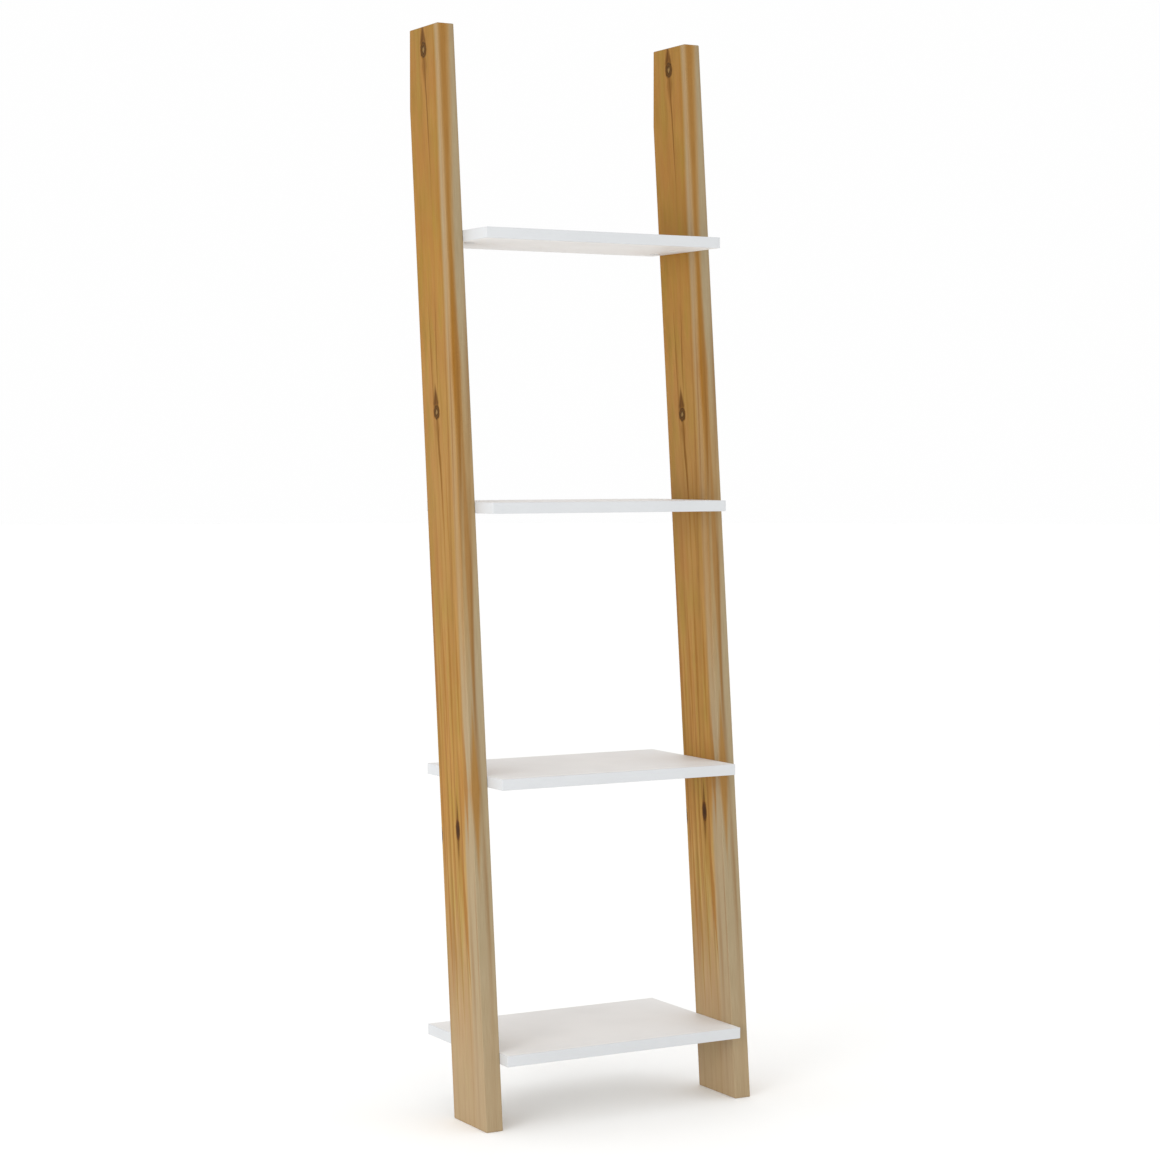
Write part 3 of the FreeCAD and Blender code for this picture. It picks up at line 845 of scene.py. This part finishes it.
def pine(name, corner):
    """Clear-lacquered pine, for the board whose foot's front left corner is given."""
    material, tree, surface = new_material(name, Specular_IOR_Level=LACQUER_SHINE)
    board = board_place(tree, corner)
    through, across, along = add_node(tree, "SeparateXYZ", {0: board}).node.outputs
    bent = bent_grain(tree, board, across)
    colour = wood_body(tree, board, bent, along)

    layer = add_node(
        tree, "Math", {0: across, 1: LAYER_SLOPE, 2: through}, operation="MULTIPLY_ADD"
    )
    wobble = streaks(tree, board, across=12, along=120)
    layer = add_node(
        tree, "Math", {0: wobble, 1: LAYER_WOBBLE, 2: layer}, operation="MULTIPLY_ADD"
    )
    layered = add_node(tree, "CombineXYZ", {"Y": layer, "Z": along})
    for spindle in EDGE_SPINDLES:
        colour = add_spindle(tree, colour, layered, spindle)

    ring, late = late_wood(tree, board, through, bent, along)
    ring_depth = add_node(tree, "Math", {0: late, 1: LATE_STRENGTH}, operation="MULTIPLY")
    colour = add_node(
        tree, "Mix", {FACTOR: ring_depth, UNDER: colour, OVER: linear(LATE)}, **BLEND
    )
    wobble = streaks(tree, board, across=10, along=60)
    wavy = add_node(
        tree, "Math", {0: wobble, 1: STREAK_WOBBLE, 2: across}, operation="MULTIPLY_ADD"
    )
    centred = add_node(tree, "Math", {0: wavy, 1: STREAK_WOBBLE / 2}, operation="SUBTRACT")
    grain = add_node(tree, "CombineXYZ", {"Y": centred, "Z": along})
    for spindle in FACE_SPINDLES:
        colour = add_spindle(tree, colour, grain, spindle)

    fine = streaks(tree, board, across=0.9, along=45)
    fibre = add_node(tree, "ValToRGB", {0: fine}, stops=FIBRE)
    colour = add_node(tree, "Mix", {FACTOR: 1.0, UNDER: colour, OVER: fibre}, **TINT)
    for knot in KNOTS:
        colour = add_knot(tree, colour, board, knot)

    # Painted cool light: the front faces are tinted cooler, partly for the wood's greyer skin and
    # partly as a painted cast of the light on the fronts.
    skin_and_painted_cool_light = add_node(
        tree, "MapRange", {"Value": across, "From Min": SKIN_AND_PAINTED_COOL_LIGHT_FROM, "From Max": SKIN_AND_PAINTED_COOL_LIGHT_TO}
    )
    colour = add_node(tree, "Mix", {FACTOR: skin_and_painted_cool_light, UNDER: colour, OVER: linear(SKIN_AND_PAINTED_COOL_LIGHT)}, **TINT)
    facing = add_node(tree, "NewGeometry", {}, out="Normal")
    upward = add_node(
        tree, "VectorMath", {0: facing, 1: along_rail}, out="Value", operation="DOT_PRODUCT"
    )
    level = add_node(tree, "Math", {0: upward}, operation="ABSOLUTE")
    sawn = add_node(
        tree, "MapRange", {"Value": level, "From Min": SAWN_FROM, "From Max": SAWN_TO}
    )
    end_grain = add_node(tree, "ValToRGB", {0: ring}, stops=END_GRAIN)
    colour = add_node(tree, "Mix", {FACTOR: sawn, UNDER: colour, OVER: end_grain}, **TINT)
    tree.links.new(colour, surface.inputs["Base Color"])

    sheen = streaks(tree, board, across=7, along=260, detail=3)
    gloss = add_node(
        tree, "MapRange", {"Value": sheen, **NOISE_SPAN, "To Min": SATIN, "To Max": MATT}
    )
    tree.links.new(gloss, surface.inputs["Roughness"])
    relief = add_node(
        tree, "Math", {0: late, 1: LATE_RELIEF, 2: fine}, operation="MULTIPLY_ADD"
    )
    bump = add_node(
        tree, "Bump", {"Strength": FIBRE_RELIEF, "Distance": FIBRE_DEPTH, "Height": relief}
    )
    tree.links.new(bump, surface.inputs["Normal"])
    return material


def dress(piece, material):
    """Gives a piece one material."""
    if piece.material_slots:
        piece.material_slots[0].material = material
    else:
        piece.data.materials.append(material)


for side, rail in rails.items():
    low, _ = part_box(f"{side}_rail")
    dress(rail, pine(f"lacquered_pine_{side}", (low.x, low.y, low.z)))
print("pine on", len(rails), "rails")

# %% [markdown]
# ## White faced board
#
# The shelves are chipboard faced with melamine: paper soaked in resin and pressed on hot. It is a
# slightly warm white with a satin sheen, and the press plate leaves a very fine pearl in it. The
# strips on its edges are ABS, rolled, which leaves long low waves. Their white is darker and cooler
# than the facing's: painted shade that evens out the stronger light on the front edges, and a
# painted cool cast. The caps
# are injection moulded and have a fine spark-eroded grain. The pearl and the spark grain are
# drawn a little coarser than they are, so that they show.

# %% Make the whites
PEARL_MM, WAVES_MM, SPARK_MM = 1.4, 9.0, 0.6
CLOUD_MM = 90
WHITE_SHINE = 0.2
WHITE_RELIEF = 0.25
GLOSS_DRIFT = 0.04  # how far the roughness drifts either way


def white_surface(name, colour, shade, roughness, grain_mm, bump_mm):
    """A white plastic surface: nearly even colour, satin gloss and a fine grain."""
    material, tree, surface = new_material(name, Specular_IOR_Level=WHITE_SHINE)
    place = add_node(tree, "TexCoord", {}, out="Object")
    grain = add_node(tree, "TexNoise", {"Vector": place, "Scale": 1 / (grain_mm * MM)})
    cloud = add_node(tree, "TexNoise", {"Vector": place, "Scale": 1 / (CLOUD_MM * MM)})
    tint = add_node(tree, "ValToRGB", {0: cloud}, stops=zip(CLOUD_STOPS, (colour, shade)))
    tree.links.new(tint, surface.inputs["Base Color"])
    least, most = roughness - GLOSS_DRIFT, roughness + GLOSS_DRIFT
    gloss = add_node(
        tree, "MapRange", {"Value": grain, **NOISE_SPAN, "To Min": least, "To Max": most}
    )
    tree.links.new(gloss, surface.inputs["Roughness"])
    bump = add_node(
        tree, "Bump", {"Strength": WHITE_RELIEF, "Distance": bump_mm * MM, "Height": grain}
    )
    tree.links.new(bump, surface.inputs["Normal"])
    return material


melamine = white_surface("white_melamine_facing", "#E3E1DF", "#E0DEDC", 0.5, PEARL_MM, 0.05)
# The strips' white is darker and cooler than the facing's: painted shade against the stronger light
# on the front edges, and a painted cool cast.
abs_band_with_painted_shade = white_surface("white_abs_edge_band_painted_shade", "#CCCED0", "#CACCCE", 0.42, WAVES_MM, 0.03)
cap_plastic = white_surface("white_moulded_cap", "#D2D3D3", "#CFD0D0", 0.5, SPARK_MM, 0.03)

for shelf in SHELVES:
    dress(nodes[shelf], melamine)
for piece, _ in strips:
    dress(piece, abs_band_with_painted_shade)
for piece in cap_sets:
    dress(piece, cap_plastic)
print("white on", len(SHELVES) + len(strips) + len(cap_sets), "pieces")

# %% [markdown]
# ## Metal and dowels
#
# The fittings are hidden in use, but they are real pieces too. The cams are die-cast zinc: dull
# grey with a slightly grainy skin. The bolts, screws and keyhole plates are zinc-plated steel,
# brighter and bluish, with soft clouds where the plating bath left it uneven. The dowels are
# beech, which is pinkish tan and covered in short dark flecks that run with the grain.


# %% Make the metals
BRIGHTER, DULLER = 0.06, 0.08  # how far a metal's roughness drifts down and up
METAL_RELIEF = 0.4


def metal(name, bright, dull, roughness, cloud_mm, grain_mm, bump_mm):
    """A metal whose colour and gloss drift in soft clouds over a fine grain."""
    material, tree, surface = new_material(name, Metallic=1.0)
    place = add_node(tree, "TexCoord", {}, out="Object")
    cloud = add_node(tree, "TexNoise", {"Vector": place, "Scale": 1 / (cloud_mm * MM)})
    grain = add_node(tree, "TexNoise", {"Vector": place, "Scale": 1 / (grain_mm * MM)})
    tint = add_node(tree, "ValToRGB", {0: cloud}, stops=zip(CLOUD_STOPS, (bright, dull)))
    tree.links.new(tint, surface.inputs["Base Color"])
    least, most = roughness - BRIGHTER, roughness + DULLER
    gloss = add_node(
        tree, "MapRange", {"Value": cloud, **NOISE_SPAN, "To Min": least, "To Max": most}
    )
    tree.links.new(gloss, surface.inputs["Roughness"])
    bump = add_node(
        tree, "Bump", {"Strength": METAL_RELIEF, "Distance": bump_mm * MM, "Height": grain}
    )
    tree.links.new(bump, surface.inputs["Normal"])
    return material


cast_zinc = metal("die_cast_zinc", "#A9ABAE", "#93959A", 0.48, 4.0, 0.35, 0.04)
plated_steel = metal("zinc_plated_steel_bluish", "#C9CED6", "#AEB4BF", 0.3, 6.0, 0.5, 0.01)


# %% Make the beech and dress the fittings
FLECK_LENGTH, FLECK_WIDTH = 3 * MM, 0.35 * MM
FLECKS = ((0.52, "#D3AE86"), (0.7, "#A97B52"))
FLECK_RELIEF, FLECK_DEPTH = 0.3, 0.05 * MM


def beech():
    """Plain beech: pinkish tan, with the short flecks of its rays along the dowel."""
    material, tree, surface = new_material("beech_dowel", Roughness=0.6)
    place = add_node(tree, "TexCoord", {}, out="Object")
    stretched = add_node(
        tree,
        "Mapping",
        {"Vector": place, "Scale": (FLECK_LENGTH, FLECK_WIDTH, FLECK_WIDTH)},
        vector_type="TEXTURE",
    )
    fleck = add_node(tree, "TexNoise", {"Vector": stretched, "Scale": 1.0})
    tint = add_node(tree, "ValToRGB", {0: fleck}, stops=FLECKS)
    tree.links.new(tint, surface.inputs["Base Color"])
    bump = add_node(
        tree, "Bump", {"Strength": FLECK_RELIEF, "Distance": FLECK_DEPTH, "Height": fleck}
    )
    tree.links.new(bump, surface.inputs["Normal"])
    return material


dowel_wood = beech()
for name, node in nodes.items():
    if name.endswith("_cam_locks"):
        dress(node, cast_zinc)
    elif name.endswith(("_cam_bolts", "_hanger_plate", "_hanger_screws")):
        dress(node, plated_steel)
    elif name.endswith("_dowels"):
        dress(node, dowel_wood)

# %% [markdown]
# ## The studio
#
# The shelf stands on a plain white floor in a bright white room. The room's light comes from
# everywhere, as from white walls. A large soft light stands low on the left, at the height of the
# shelf's middle, so that it reaches in under the shelves and makes the rails' wide faces a little
# brighter than their front edges.

# %% Floor and room
FLOOR_RADIUS, FLOOR_SIDES = 40.0, 96
MOTTLE = 0.4  # metres
ROOM_BRIGHTNESS = 1.07
WALLS = ((0.0, "#F7F7F7"), (0.25, "#F7F7F7"), (1.0, "#FFFFFF"))  # from the horizon up


def floor_paint():
    """Matt white paint, very slightly mottled."""
    material, tree, surface = new_material("matt_white_floor", Roughness=0.85)
    place = add_node(tree, "TexCoord", {}, out="Object")
    cloud = add_node(tree, "TexNoise", {"Vector": place, "Scale": 1 / MOTTLE})
    tint = add_node(tree, "ValToRGB", {0: cloud}, stops=zip(CLOUD_STOPS, ("#FEFEFD", "#FDFDFC")))
    tree.links.new(tint, surface.inputs["Base Color"])
    return material


bpy.ops.object.select_all(action="DESELECT")
bpy.ops.mesh.primitive_circle_add(vertices=FLOOR_SIDES, radius=FLOOR_RADIUS, fill_type="NGON")
floor = bpy.context.object
floor.name = "floor"
dress(floor, floor_paint())

world = bpy.data.worlds.new("white_room")
scene.world = world
world.use_nodes = True
room = world.node_tree
direction = add_node(room, "TexCoord", {}, out="Generated")
height = add_node(room, "SeparateXYZ", {0: direction}, out="Z")
walls = add_node(room, "ValToRGB", {0: height}, stops=WALLS)
room.links.new(walls, room.nodes["Background"].inputs["Color"])
room.nodes["Background"].inputs["Strength"].default_value = ROOM_BRIGHTNESS


# %% Light the shelf
SOFTBOX_AT, SOFTBOX_SIZE, SOFTBOX_WATTS = (-3.9, -2.2, 1.1), 2.0, 72


def soft_light(name, at, size, watts):
    """A square soft light aimed at the shelf's middle."""
    bpy.ops.object.select_all(action="DESELECT")
    bpy.ops.object.light_add(type="AREA", location=at)
    light = bpy.context.object
    light.name = name
    middle = (model_low + model_high) / 2
    light.rotation_euler = (middle - Vector(at)).to_track_quat("-Z", "Y").to_euler()
    light.data.size = size
    light.data.energy = watts
    return light


soft_light("left_softbox", SOFTBOX_AT, SOFTBOX_SIZE, SOFTBOX_WATTS)

# %% [markdown]
# ## The measured size
#
# The dressed shelf must keep the measured size, which is printed here once more.

# %% Print the measured size
print("measured", [round(v / MM, 2) for v in model_high - model_low], "mm")
